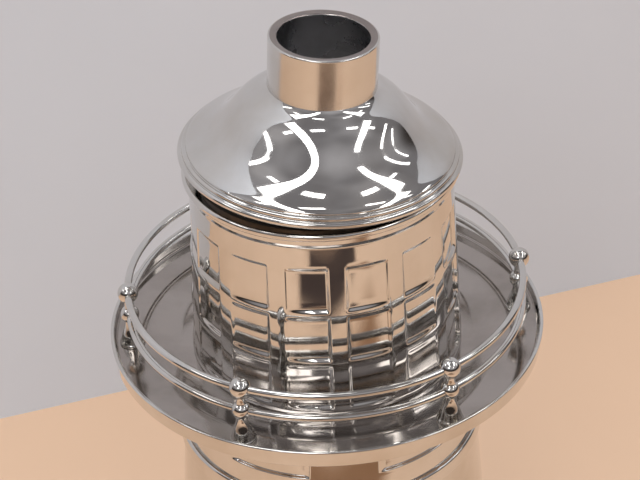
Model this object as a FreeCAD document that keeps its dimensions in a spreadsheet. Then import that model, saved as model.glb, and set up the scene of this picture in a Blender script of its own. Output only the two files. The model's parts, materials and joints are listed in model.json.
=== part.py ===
"""A lighthouse-shaped cocktail shaker in plated metal, as separate pieces in millimetres.

The origin is at the centre of the foot, on the surface that the shaker stands on, with +Z up and
the front towards -Y. Headings are degrees from the front, positive towards +X.
"""
import FreeCAD
import Part
import Sketcher
import math
import os

SIZES = {
    # Sheet metal and the small roundings of its edges
    "sheet": 1.2,
    "edge_round": 0.45,
    "solder_fit": 0.05,
    "emboss": 0.4,
    # Foot ring and the plate that closes the tower
    "foot_spread": 11.5,
    "foot_height": 16,
    "foot_step": 5,
    "foot_tread": 3.5,
    "foot_riser": 4.5,
    "foot_cove": 4,
    "foot_ledge": 4,
    "plate_rise": 3,
    # Tapered tower
    "tower_bottom_radius": 58.5,
    "tower_shelf": 2.2,
    "tower_height": 232,
    "belt_drop": 27.1,
    "belt_width": 5,
    "belt_proud": 1.2,
    "watch_window_drop": 18.1,
    "watch_window_height": 12,
    "watch_window_angle": 27,
    "stair_window_sill": 118,
    "stair_window_height": 32,
    "stair_window_angle": 17,
    "stair_window_count": 4,
    "door_sill": 20,
    "door_height": 50,
    "door_angle": 26,
    # Gallery deck
    "gallery_width": 23,
    "deck_shelf": 2.5,
    "slope_inset": 9.7,
    "deck_bend": 6,
    "deck_rise": 2.6,
    "lip_wall": 1.2,
    "lip_height": 5.1,
    "lip_drop": 0.8,
    "lip_flare": 0.6,
    "lip_round": 1,
    # Lantern drum, which widens from its mouth to its foot
    "drum_radius": 35.6,
    "drum_spread": 2.6,
    "drum_height": 57,
    "bead_height": 1.9,
    "bead_proud": 1.9,
    "collar_height": 4,
    "collar_proud": 0.2,
    "pane_drop": 11.5,
    "pane_gap": 2.4,
    "pane_foot": 2.2,
    "pane_rows": 3,
    "pane_count": 14,
    "pane_angle": 17.8,
    "pane_heading": -8,
    # Gallery stanchions, rails and nuts
    "post_count": 6,
    "post_heading": -25,
    "post_inset": 6.2,
    "post_foot_radius": 3.6,
    "post_foot_height": 0.8,
    "stem_foot_radius": 2.9,
    "stem_top_radius": 1.6,
    "lower_ball_radius": 2.6,
    "upper_ball_radius": 2.9,
    "neck_radius": 1.3,
    "lower_rail_height": 9.7,
    "upper_rail_height": 16.8,
    "rail_rod_radius": 1.05,
    "rail_fit": 0.03,
    "spigot_radius": 1.2,
    "spigot_fit": 0.1,
    "spigot_tail": 1,
    "nut_flats": 5,
    "nut_height": 2,
    # Lid: roof, plug and seal, sitting cocked in the mouth of the drum
    "lid_tilt": 3.5,
    "lid_high_heading": -94,
    "lid_seat_gap": 0.1,
    "rim_overhang": 2.7,
    "rim_height": 3.7,
    "rim_step": 1.15,
    "valley_share": 0.498,
    "valley_height": 8,
    "valley_round": 12,
    "shoulder_share": 0.253,
    "shoulder_height": 17.9,
    "shoulder_round": 12,
    "crown_share": 0.06,
    "crown_height": 20,
    "crown_lip": 1.1,
    "crown_round": 1.5,
    "plug_clearance": 1.4,
    "plug_wall": 1,
    "plug_depth": 9,
    "plug_grip": 2.5,
    "seal_rise": 0.8,
    "seal_height": 4.6,
    "seal_wall": 0.75,
    # Spout and strainer
    "spout_radius": 14.6,
    "spout_wall": 2.45,
    "spout_height": 14.4,
    "spout_tail": 2.5,
    "strainer_wall": 0.8,
    "strainer_hole_radius": 1.1,
    "strainer_inner_ring": 4.2,
    "strainer_outer_ring": 8.2,
    "strainer_inner_count": 6,
    "strainer_outer_count": 12,
}

FULL_TURN = 360
FRONT = 90
FLOOR = "0"
BEND_SHARE = 0.7

FOOT_TOP = "size.foot_height"
DECK_UNDER = "size.foot_height + size.tower_height"
DECK_TOP = f"{DECK_UNDER} + size.sheet"
POST_SEAT = f"{DECK_TOP} + size.deck_rise"
LIP_BOTTOM = f"{DECK_UNDER} + size.deck_rise - size.lip_drop"
LIP_TOP = f"{LIP_BOTTOM} + size.lip_height"
RIM = f"{DECK_TOP} + size.drum_height"
PANE_PITCH = "(size.drum_height - size.pane_drop - size.pane_foot + size.pane_gap) / size.pane_rows"
FOOT_RADIUS = "size.tower_bottom_radius + size.foot_spread"
TOWER_BORE = "size.tower_bottom_radius - size.sheet"
DRUM_FOOT = "size.drum_radius + size.drum_spread"
DRUM_BORE = "size.drum_radius - size.sheet"
TOWER_TOP = f"{DRUM_FOOT} + size.tower_shelf"
DECK_FLAT = f"{TOWER_TOP} + size.deck_shelf"
DECK_RADIUS = f"{DRUM_FOOT} + size.gallery_width"
DECK_SLOPE = f"{DECK_RADIUS} - size.slope_inset"
POST_RING = f"{DECK_RADIUS} - size.post_inset"
RIM_CREST = "size.drum_radius + size.bead_proud"
RIM_RADIUS = "size.drum_radius + size.rim_overhang"
PLUG_RADIUS = f"{DRUM_BORE} - size.plug_clearance"
SPOUT_BORE = "size.spout_radius - size.spout_wall"
SEAT = "size.plug_depth"
CROWN = f"{SEAT} + size.crown_height + size.crown_lip"
SPOUT_FOOT = f"{CROWN} - size.spout_tail - size.sheet"

doc = FreeCAD.newDocument("lighthouse_shaker")
size = doc.addObject("Spreadsheet::Sheet", "size")
for row, (alias, number) in enumerate(SIZES.items(), start=1):
    size.set(f"A{row}", alias)
    size.set(f"B{row}", str(number))
    size.setAlias(f"B{row}", alias)
doc.recompute()


def value(expression):
    """Work out an expression of the sheet as a number."""
    return float(size.evalExpression(expression))


def origin_feature(body, role):
    """Find a plane or an axis of a body's own origin."""
    return next(item for item in body.Origin.OriginFeatures if item.Role == role)


def bind(item, **expressions):
    """Bind properties of an object to expressions of the sheet; a double underscore is a dot."""
    for name, expression in expressions.items():
        item.setExpression(name.replace("__", "."), expression)


def turn_to(item, heading, property_name="Placement", axis=(0, 0, 1)):
    """Turn a placement to a heading from the front."""
    start = FreeCAD.Rotation(FreeCAD.Vector(*axis), 1)
    setattr(item, property_name, FreeCAD.Placement(FreeCAD.Vector(), start))
    item.setExpression(f"{property_name}.Rotation.Angle", f"{heading} - {FRONT}")


def new_sketch(body, name, role):
    """Start a sketch on one of a body's origin planes."""
    sketch = body.newObject("Sketcher::SketchObject", name)
    sketch.AttachmentSupport = (origin_feature(body, role), [""])
    sketch.MapMode = "FlatFace"
    return sketch


def pin_point(sketch, geometry, position, across, up, tag):
    """Hold a point of a sketch at two expressions, measured from the sketch's origin."""
    horizontal_axis = -1
    where = sketch.addConstraint(Sketcher.Constraint("DistanceX", -1, 1, geometry, position, value(across)))
    sketch.renameConstraint(where, f"across_{tag}")
    sketch.setExpression(f"Constraints.across_{tag}", across)
    if up == FLOOR:
        sketch.addConstraint(Sketcher.Constraint("PointOnObject", geometry, position, horizontal_axis))
        return
    where = sketch.addConstraint(Sketcher.Constraint("DistanceY", -1, 1, geometry, position, value(up)))
    sketch.renameConstraint(where, f"up_{tag}")
    sketch.setExpression(f"Constraints.up_{tag}", up)


def corner_arc(before, corner, after, radius):
    """Give the arc that rounds a corner, and whether it starts on the side that comes before."""
    back = (before - corner).normalize()
    ahead = (after - corner).normalize()
    half_angle = back.getAngle(ahead) / 2
    reach = radius / math.tan(half_angle)
    centre = corner + (back + ahead).normalize() * (radius / math.sin(half_angle))
    entry = corner + back * reach - centre
    leave = corner + ahead * reach - centre
    first = math.atan2(entry.y, entry.x)
    last = math.atan2(leave.y, leave.x)
    turns_left = math.sin(last - first) > 0
    circle = Part.Circle(centre, FreeCAD.Vector(0, 0, 1), radius)
    arc = Part.ArcOfCircle(circle, first, last) if turns_left else Part.ArcOfCircle(circle, last, first)
    return arc, turns_left


def add_outline(sketch, corners, tag=""):
    """Draw a closed outline of corners, each (across, up) or (across, up, rounding)."""
    count = len(corners)
    points = [FreeCAD.Vector(value(corner[0]), value(corner[1]), 0) for corner in corners]
    arcs = {}
    for index, corner in enumerate(corners):
        if len(corner) == 3:
            before = points[index - 1]
            after = points[(index + 1) % count]
            arcs[index] = corner_arc(before, points[index], after, value(corner[2]))

    def end_of(index, entering):
        if index not in arcs:
            return points[index]
        arc, starts_before = arcs[index]
        return arc.StartPoint if entering == starts_before else arc.EndPoint

    lines = []
    for index in range(count):
        ahead = (index + 1) % count
        line = Part.LineSegment(end_of(index, False), end_of(ahead, True))
        lines.append(sketch.addGeometry(line, False))
    for index, corner in enumerate(corners):
        name = f"{tag}{index}"
        line_in = lines[index - 1]
        line_out = lines[index]
        if index not in arcs:
            sketch.addConstraint(Sketcher.Constraint("Coincident", line_in, 2, line_out, 1))
            pin_point(sketch, line_out, 1, corner[0], corner[1], name)
            continue
        arc, starts_before = arcs[index]
        curve = sketch.addGeometry(arc, False)
        entry, leave = (1, 2) if starts_before else (2, 1)
        sketch.addConstraint(Sketcher.Constraint("Tangent", line_in, 2, curve, entry))
        sketch.addConstraint(Sketcher.Constraint("Tangent", curve, leave, line_out, 1))
        mark = sketch.addGeometry(Part.Point(points[index]), True)
        sketch.addConstraint(Sketcher.Constraint("PointOnObject", mark, 1, line_in))
        sketch.addConstraint(Sketcher.Constraint("PointOnObject", mark, 1, line_out))
        pin_point(sketch, mark, 1, corner[0], corner[1], name)
        where = sketch.addConstraint(Sketcher.Constraint("Radius", curve, value(corner[2])))
        sketch.renameConstraint(where, f"round_{name}")
        sketch.setExpression(f"Constraints.round_{name}", corner[2])


def turned_body(label, corners):
    """Make a body of revolution round the vertical axis from an outline of (radius, height)."""
    body = doc.addObject("PartDesign::Body", label)
    sketch = new_sketch(body, f"{label}_outline", "XZ_Plane")
    add_outline(sketch, corners)
    turned = body.newObject("PartDesign::Revolution", f"{label}_turned")
    turned.Profile = sketch
    turned.ReferenceAxis = (sketch, ["V_Axis"])
    turned.Angle = FULL_TURN
    body.Tip = turned
    return body


def emboss_ring(body, name, outlines, heading, angle, count):
    """Press a ring of shallow recesses into a turned body, one column of outlines at a heading."""
    sketch = new_sketch(body, f"{name}_section", "XZ_Plane")
    turn_to(sketch, heading, "AttachmentOffset", (0, 1, 0))
    for row, corners in enumerate(outlines):
        add_outline(sketch, corners, f"row{row}_")
    groove = body.newObject("PartDesign::Groove", name)
    groove.Profile = sketch
    groove.ReferenceAxis = (sketch, ["V_Axis"])
    groove.Midplane = True
    bind(groove, Angle=angle)
    body.Tip = groove
    repeat(body, groove, count)


def repeat(body, feature, count):
    """Repeat a feature evenly round the vertical axis."""
    pattern = body.newObject("PartDesign::PolarPattern", f"{feature.Name}_ring")
    pattern.Originals = [feature]
    pattern.Axis = (origin_feature(body, "Z_Axis"), [""])
    pattern.Angle = FULL_TURN
    bind(pattern, Occurrences=count)
    body.Tip = pattern


def drill_ring(body, name, ring_radius, hole_radius, heading, count):
    """Drill a ring of round holes through a body, upwards from its base plane."""
    sketch = new_sketch(body, f"{name}_circle", "XY_Plane")
    turn_to(sketch, heading, "AttachmentOffset")
    centre = FreeCAD.Vector(value(ring_radius), 0, 0)
    circle = Part.Circle(centre, FreeCAD.Vector(0, 0, 1), value(hole_radius))
    hole = sketch.addGeometry(circle, False)
    pin_point(sketch, hole, 3, ring_radius, FLOOR, "centre")
    where = sketch.addConstraint(Sketcher.Constraint("Radius", hole, value(hole_radius)))
    sketch.renameConstraint(where, "hole")
    sketch.setExpression("Constraints.hole", hole_radius)
    pocket = body.newObject("PartDesign::Pocket", name)
    pocket.Profile = sketch
    pocket.Type = "ThroughAll"
    pocket.Reversed = True
    body.Tip = pocket
    repeat(body, pocket, count)


def solid(kind, label, up=FLOOR, **expressions):
    """Make a primitive at a height, with its sizes bound to the sheet."""
    item = doc.addObject(f"Part::{kind}", label)
    bind(item, Placement__Base__z=up, **expressions)
    return item


def cut(label, base, tool):
    """Cut one solid from another."""
    item = doc.addObject("Part::Cut", label)
    item.Base = base
    item.Tool = tool
    return item


def fuse(label, items):
    """Join solids into one."""
    item = doc.addObject("Part::MultiFuse", label)
    item.Shapes = items
    item.Refine = True
    return item


def tower_radius(height):
    """Give the tower's outer radius at a height, along its straight taper."""
    share = f"(({height}) - size.foot_height) / size.tower_height"
    return f"size.tower_bottom_radius + ({TOWER_TOP} - size.tower_bottom_radius) * {share}"


def drum_radius(height):
    """Give the lantern drum's outer radius at a height, along its straight taper."""
    return f"size.drum_radius + size.drum_spread * ({RIM} - ({height})) / size.drum_height"


def recess(radius_at, sill, height):
    """Give the outline of a shallow recess that follows the taper of a wall."""
    head = f"{sill} + {height}"
    return [
        (f"{radius_at(sill)} - size.emboss", sill),
        (f"{radius_at(sill)} + size.emboss", sill),
        (f"{radius_at(head)} + size.emboss", head),
        (f"{radius_at(head)} - size.emboss", head),
    ]


def base_foot():
    """Make the stepped foot ring, with a ledge inside that carries the base plate."""
    tread = f"{FOOT_RADIUS} - size.foot_tread"
    second = "size.foot_step + size.foot_riser"
    ledge = f"{TOWER_BORE} - size.foot_ledge"
    return turned_body("base_foot", [
        (ledge, FLOOR),
        (FOOT_RADIUS, FLOOR, "size.edge_round"),
        (FOOT_RADIUS, "size.foot_step", "size.edge_round"),
        (tread, "size.foot_step"),
        (tread, second, "size.edge_round"),
        ("size.tower_bottom_radius + 2 * size.sheet", second, "size.foot_cove"),
        ("size.tower_bottom_radius + size.sheet", FOOT_TOP, "size.edge_round"),
        (TOWER_BORE, FOOT_TOP),
        (TOWER_BORE, "size.plate_rise"),
        (ledge, "size.plate_rise"),
    ])


def base_plate():
    """Make the disc that closes the bottom of the tower, lying on the foot's ledge."""
    return solid("Cylinder", "base_plate", up="size.plate_rise",
                 Radius=f"{TOWER_BORE} - size.solder_fit", Height="size.sheet")


def tower_wall():
    """Make the tapered tower with its watch-room windows, stair windows and door."""
    body = turned_body("tower_wall", [
        ("size.tower_bottom_radius", FOOT_TOP),
        (TOWER_TOP, DECK_UNDER),
        (f"{TOWER_TOP} - size.sheet", DECK_UNDER),
        (TOWER_BORE, FOOT_TOP),
    ])
    watch = recess(tower_radius, f"{DECK_UNDER} - size.watch_window_drop", "size.watch_window_height")
    stair = recess(tower_radius, "size.stair_window_sill", "size.stair_window_height")
    door = recess(tower_radius, "size.door_sill", "size.door_height")
    emboss_ring(body, "watch_windows", [watch], "size.post_heading", "size.watch_window_angle",
                "size.post_count")
    emboss_ring(body, "stair_windows", [stair], "0", "size.stair_window_angle", "size.stair_window_count")
    emboss_ring(body, "door", [door], "0", "size.door_angle", "1")
    return body


def tower_belt():
    """Make the half-round moulding that runs round the tower below its windows."""
    middle = f"{DECK_UNDER} - size.belt_drop"
    low = f"{middle} - size.belt_width / 2"
    high = f"{middle} + size.belt_width / 2"
    rounding = f"size.belt_proud * {BEND_SHARE}"
    return turned_body("tower_belt", [
        (tower_radius(low), low),
        (f"{tower_radius(low)} + size.belt_proud", low, rounding),
        (f"{tower_radius(high)} + size.belt_proud", high, rounding),
        (tower_radius(high), high),
    ])


def gallery_deck():
    """Make the dished deck with its upright lip and the holes for the stanchions."""
    lip_inside = f"{DECK_RADIUS} - size.lip_wall"
    under_slope = f"{DECK_UNDER} + size.deck_rise"
    body = turned_body("gallery_deck", [
        (f"{DRUM_FOOT} - size.sheet", DECK_UNDER),
        (DECK_FLAT, DECK_UNDER, "size.deck_bend"),
        (DECK_SLOPE, under_slope, "size.deck_bend"),
        (f"{lip_inside} - size.lip_flare", under_slope),
        (f"{lip_inside} - size.lip_flare", LIP_BOTTOM),
        (f"{DECK_RADIUS} - size.lip_flare", LIP_BOTTOM, "size.edge_round"),
        (DECK_RADIUS, LIP_TOP, "size.edge_round"),
        (lip_inside, LIP_TOP, "size.edge_round"),
        (lip_inside, POST_SEAT, "size.lip_round"),
        (DECK_SLOPE, POST_SEAT, "size.deck_bend"),
        (DECK_FLAT, DECK_TOP, "size.deck_bend"),
        (f"{DRUM_FOOT} - size.sheet", DECK_TOP),
    ])
    drill_ring(body, "spigot_holes", POST_RING, "size.spigot_radius + size.spigot_fit",
               "size.post_heading", "size.post_count")
    return body


def lantern_drum():
    """Make the tapered lantern drum with its rolled mouth and its rows of embossed panes."""
    collar_foot = f"{RIM} - size.collar_height"
    collar = f"{drum_radius(collar_foot)} + size.collar_proud"
    body = turned_body("lantern_drum", [
        (f"{DRUM_FOOT} - size.sheet", DECK_TOP),
        (DRUM_FOOT, DECK_TOP),
        (drum_radius(collar_foot), collar_foot),
        (collar, collar_foot),
        (collar, f"{RIM} - size.bead_height"),
        (RIM_CREST, f"{RIM} - size.bead_height", "size.edge_round"),
        (RIM_CREST, RIM, "size.edge_round"),
        (DRUM_BORE, RIM, "size.edge_round"),
    ])
    rows = range(int(value("size.pane_rows")))
    sills = [f"{DECK_TOP} + size.pane_foot + {row} * {PANE_PITCH}" for row in rows]
    panes = [recess(drum_radius, sill, f"{PANE_PITCH} - size.pane_gap") for sill in sills]
    emboss_ring(body, "panes", panes, "size.pane_heading", "size.pane_angle", "size.pane_count")
    return body


def rail(label, height, clearance="0"):
    """Make a ring rail at a height above the stanchions' seat."""
    return solid("Torus", label, up=f"{POST_SEAT} + {height}",
                 Radius1=POST_RING, Radius2=f"size.rail_rod_radius + {clearance}")


def stanchions():
    """Make the turned stanchions, each drilled for the two rails and with a spigot through the deck."""
    lower = f"{POST_SEAT} + size.lower_rail_height"
    upper = f"{POST_SEAT} + size.upper_rail_height"
    stem = f"{POST_SEAT} + size.post_foot_height"
    spigot = "size.sheet + size.nut_height + size.spigot_tail"
    pieces = [
        solid("Cylinder", "post_spigot", f"{POST_SEAT} - ({spigot})",
              Radius="size.spigot_radius", Height=spigot),
        solid("Cylinder", "post_foot", POST_SEAT,
              Radius="size.post_foot_radius", Height="size.post_foot_height"),
        solid("Cone", "post_stem", stem, Radius1="size.stem_foot_radius", Radius2="size.stem_top_radius",
              Height="size.lower_rail_height - size.post_foot_height"),
        solid("Sphere", "post_lower_ball", lower, Radius="size.lower_ball_radius"),
        solid("Cylinder", "post_neck", lower, Radius="size.neck_radius",
              Height="size.upper_rail_height - size.lower_rail_height"),
        solid("Sphere", "post_upper_ball", upper, Radius="size.upper_ball_radius"),
    ]
    for piece in pieces:
        bind(piece, Placement__Base__x=POST_RING)
    turned = fuse("turned_post", pieces)
    tunnels = fuse("rail_tunnels", [
        rail("lower_tunnel", "size.lower_rail_height", "size.rail_fit"),
        rail("upper_tunnel", "size.upper_rail_height", "size.rail_fit"),
    ])
    posts = []
    for index in range(int(value("size.post_count"))):
        post = cut(f"stanchion_{index + 1}", turned, tunnels)
        turn_to(post, f"size.post_heading + {index} * {FULL_TURN} / size.post_count")
        posts.append(post)
    return posts


def stanchion_nuts():
    """Make the nuts that hold the stanchions' spigots under the deck, as one group."""
    under = f"{POST_SEAT} - size.sheet - size.nut_height"
    blank = solid("Prism", "nut_blank", under,
                  Circumradius="size.nut_flats / sqrt(3)", Height="size.nut_height")
    bore = solid("Cylinder", "nut_bore", under,
                 Radius="size.spigot_radius + size.solder_fit", Height="size.nut_height")
    for piece in (blank, bore):
        bind(piece, Placement__Base__x=POST_RING)
    nuts = []
    for index in range(int(value("size.post_count"))):
        nut = cut(f"nut_{index + 1}", blank, bore)
        turn_to(nut, f"size.post_heading + {index} * {FULL_TURN} / size.post_count")
        nuts.append(nut)
    group = doc.addObject("Part::Compound", "stanchion_nuts")
    group.Links = nuts
    return group


def roof_shell():
    """Make the bell-shaped roof with its stepped rim, open at the crown for the spout."""
    inside = f"{PLUG_RADIUS} + size.solder_fit"
    hole = "size.spout_radius + size.solder_fit"
    bend = f"size.sheet * {BEND_SHARE}"
    first = f"{SEAT} + size.rim_height / 2"
    second = f"{SEAT} + size.rim_height * 3 / 4"
    top = f"{SEAT} + size.rim_height"
    valley = f"{SEAT} + size.valley_height"
    shoulder = f"{SEAT} + size.shoulder_height"
    crown = f"{SEAT} + size.crown_height"
    valley_radius, shoulder_radius, crown_radius = [
        f"size.spout_radius + ({RIM_RADIUS} - size.spout_radius) * size.{share}"
        for share in ("valley_share", "shoulder_share", "crown_share")
    ]
    return turned_body("roof_shell", [
        (inside, SEAT),
        (RIM_RADIUS, SEAT, "size.edge_round"),
        (RIM_RADIUS, first, "size.edge_round"),
        (f"{RIM_RADIUS} - size.rim_step", first),
        (f"{RIM_RADIUS} - size.rim_step", second, "size.edge_round"),
        (f"{RIM_RADIUS} - 2 * size.rim_step", second),
        (f"{RIM_RADIUS} - 2 * size.rim_step", top, "size.edge_round"),
        (valley_radius, valley, "size.valley_round"),
        (shoulder_radius, shoulder, "size.shoulder_round"),
        (crown_radius, crown, "size.crown_round"),
        (hole, CROWN),
        (hole, f"{CROWN} - size.sheet"),
        (f"{crown_radius} - {bend}", f"{crown} - {bend}", "size.crown_round"),
        (f"{shoulder_radius} - {bend}", f"{shoulder} - {bend}", "size.shoulder_round - size.sheet"),
        (f"{valley_radius} - {bend}", f"{valley} - size.sheet", "size.valley_round + size.sheet"),
        (inside, f"{SEAT} + size.plug_grip"),
    ])


def plug_sleeve():
    """Make the sleeve under the roof that enters the mouth of the drum."""
    bore = f"{PLUG_RADIUS} - size.plug_wall"
    top = f"{SEAT} + size.plug_grip"
    return turned_body("plug_sleeve", [
        (bore, FLOOR),
        (PLUG_RADIUS, FLOOR),
        (PLUG_RADIUS, top),
        (bore, top),
    ])


def plug_seal():
    """Make the sealing band that lies round the sleeve."""
    inner = f"{PLUG_RADIUS} + size.solder_fit"
    outer = f"{inner} + size.seal_wall"
    top = "size.seal_rise + size.seal_height"
    return turned_body("plug_seal", [
        (inner, "size.seal_rise"),
        (outer, "size.seal_rise"),
        (outer, top),
        (inner, top),
    ])


def spout_tube():
    """Make the thick-walled spout that stands through the crown of the roof."""
    top = f"{CROWN} + size.spout_height"
    return turned_body("spout_tube", [
        (SPOUT_BORE, SPOUT_FOOT),
        ("size.spout_radius", SPOUT_FOOT),
        ("size.spout_radius", top, "2 * size.edge_round"),
        (SPOUT_BORE, top, "2 * size.edge_round"),
    ])


def strainer_plate():
    """Make the drilled disc that closes the foot of the spout."""
    under = f"{SPOUT_FOOT} - size.strainer_wall"
    body = turned_body("strainer_plate", [
        ("size.strainer_hole_radius", under),
        ("size.spout_radius", under),
        ("size.spout_radius", SPOUT_FOOT),
        ("size.strainer_hole_radius", SPOUT_FOOT),
    ])
    drill_ring(body, "inner_holes", "size.strainer_inner_ring", "size.strainer_hole_radius", "0",
               "size.strainer_inner_count")
    drill_ring(body, "outer_holes", "size.strainer_outer_ring", "size.strainer_hole_radius", "0",
               "size.strainer_outer_count")
    return body


def cock_lid(pieces):
    """Set the lid's pieces in the drum's mouth, tilted about the point of the rim where they rest."""
    heading = f"(size.lid_high_heading - {FRONT})"
    contact = f"-({RIM_CREST})"
    drop = f"({contact}) * (1 - cos(size.lid_tilt)) + ({SEAT}) * sin(size.lid_tilt)"
    lift = f"{RIM} + size.lid_seat_gap - ({contact}) * sin(size.lid_tilt) - ({SEAT}) * cos(size.lid_tilt)"
    base = f"vector(cos({heading}) * ({drop}); sin({heading}) * ({drop}); {lift})"
    axis = f"vector(sin({heading}); -cos({heading}); 0)"
    for piece in pieces:
        piece.setExpression("Placement", f"placement({base}; rotation({axis}; size.lid_tilt))")


def write_parts(pieces):
    """Check every object and every piece's shape, then write one file for each piece."""
    doc.recompute()
    for item in doc.Objects:
        if "Invalid" in item.State or "Error" in item.State:
            raise RuntimeError(f"{item.Name} failed: {item.State}")
    for piece in pieces:
        if piece.Shape.isNull() or not piece.Shape.isValid():
            raise RuntimeError(f"{piece.Label} has no valid shape")
    os.makedirs("parts", exist_ok=True)
    for piece in pieces:
        piece.Shape.exportStep(f"parts/{piece.Label}.step")
        print(piece.Label, len(piece.Shape.Solids), round(piece.Shape.Volume, 2))


vessel = [
    base_foot(),
    base_plate(),
    tower_wall(),
    tower_belt(),
    gallery_deck(),
    lantern_drum(),
    rail("lower_rail", "size.lower_rail_height"),
    rail("upper_rail", "size.upper_rail_height"),
    *stanchions(),
    stanchion_nuts(),
]
lid = [roof_shell(), plug_sleeve(), plug_seal(), spout_tube(), strainer_plate()]
cock_lid(lid)
write_parts(vessel + lid)
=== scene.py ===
"""Dress the lighthouse-shaped cocktail shaker: its plated metal pieces, the studio and the camera.

Sizes are millimetres in the part's own frame, with the origin under the foot, +Z up and the front
towards -Y, and a mesh is scaled to metres as it is made. Headings are degrees from the front,
positive towards +X.
"""

import json
import logging
import math
from dataclasses import dataclass, field
from enum import Enum
from typing import Any, Callable, Dict, List, Optional, Sequence, Tuple

import bpy
import numpy as np
from mathutils import Matrix, Vector


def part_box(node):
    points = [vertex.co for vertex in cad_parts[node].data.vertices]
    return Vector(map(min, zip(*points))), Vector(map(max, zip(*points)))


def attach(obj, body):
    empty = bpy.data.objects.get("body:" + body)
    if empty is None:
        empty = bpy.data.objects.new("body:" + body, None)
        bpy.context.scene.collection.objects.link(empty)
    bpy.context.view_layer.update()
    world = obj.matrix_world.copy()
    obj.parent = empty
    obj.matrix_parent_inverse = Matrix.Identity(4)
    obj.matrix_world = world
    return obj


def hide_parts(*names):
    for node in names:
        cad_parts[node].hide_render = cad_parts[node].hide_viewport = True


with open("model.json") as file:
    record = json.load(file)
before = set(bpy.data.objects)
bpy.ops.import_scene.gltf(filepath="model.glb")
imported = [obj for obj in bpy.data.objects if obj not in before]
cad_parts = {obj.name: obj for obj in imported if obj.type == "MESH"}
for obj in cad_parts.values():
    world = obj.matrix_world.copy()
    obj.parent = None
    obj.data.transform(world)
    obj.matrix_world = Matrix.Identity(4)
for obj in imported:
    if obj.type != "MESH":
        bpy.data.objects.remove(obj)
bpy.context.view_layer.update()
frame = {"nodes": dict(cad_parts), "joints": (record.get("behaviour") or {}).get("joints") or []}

LOG = logging.getLogger("shaker")
MM = 0.001
FULL_TURN = 2 * math.pi
# How many points make a smooth turn.
SMOOTH_TURN = 320
# How far the end points of a straight run lie from its corners, in millimetres.
SUPPORT = 0.12
# A hair's breadth in millimetres, for pieces that touch and for points that are as good as equal.
SNUG = 0.05
# How far the fine lines across a soft edge reach from its middle, in edge widths, and how many there are.
EDGE_REACH = 0.6
EDGE_LINES = 7

Array = np.ndarray
Corner = Tuple[float, ...]
Press = Callable[[Array, Array, Array], Array]


def linear(hex_colour: str) -> Tuple[float, float, float, float]:
    """Turn an sRGB hex colour into linear red, green, blue and alpha.

    Args:
        hex_colour: a colour such as "#C8C4BE".

    Returns:
        The four linear channels, with alpha 1.
    """
    channels = np.array([int(hex_colour[i:i + 2], 16) for i in (1, 3, 5)]) / 255
    low = channels / 12.92
    high = ((channels + 0.055) / 1.055) ** 2.4
    red, green, blue = np.where(channels <= 0.04045, low, high)
    return float(red), float(green), float(blue), 1.0


def add_node(tree: bpy.types.NodeTree, kind: str, links: Optional[Dict] = None,
             **settings: Any) -> bpy.types.Node:
    """Add a shader node with its settings and links.

    Args:
        tree: the node tree that gets the node.
        kind: the node's type name.
        links: input name or number to the output socket that feeds it.
        settings: input values, with underscores for spaces, or properties of the node.

    Returns:
        The new node.
    """
    node = tree.nodes.new(kind)
    for name, value in settings.items():
        if hasattr(node, name):
            setattr(node, name, value)
        else:
            node.inputs[name.replace("_", " ")].default_value = value
    for name, socket in (links or {}).items():
        tree.links.new(socket, node.inputs[name])
    return node


def new_material(name: str) -> Tuple[bpy.types.Material, bpy.types.NodeTree, bpy.types.Node]:
    """Start a node material.

    Args:
        name: the material's name.

    Returns:
        The material, its node tree and its main shader.
    """
    material = bpy.data.materials.new(name)
    material.use_nodes = True
    return material, material.node_tree, material.node_tree.nodes["Principled BSDF"]


class Grain(Enum):
    """Which way the marks of a tool run over a metal surface."""

    NONE = "none"
    AROUND = "around"
    RADIAL = "radial"


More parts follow.
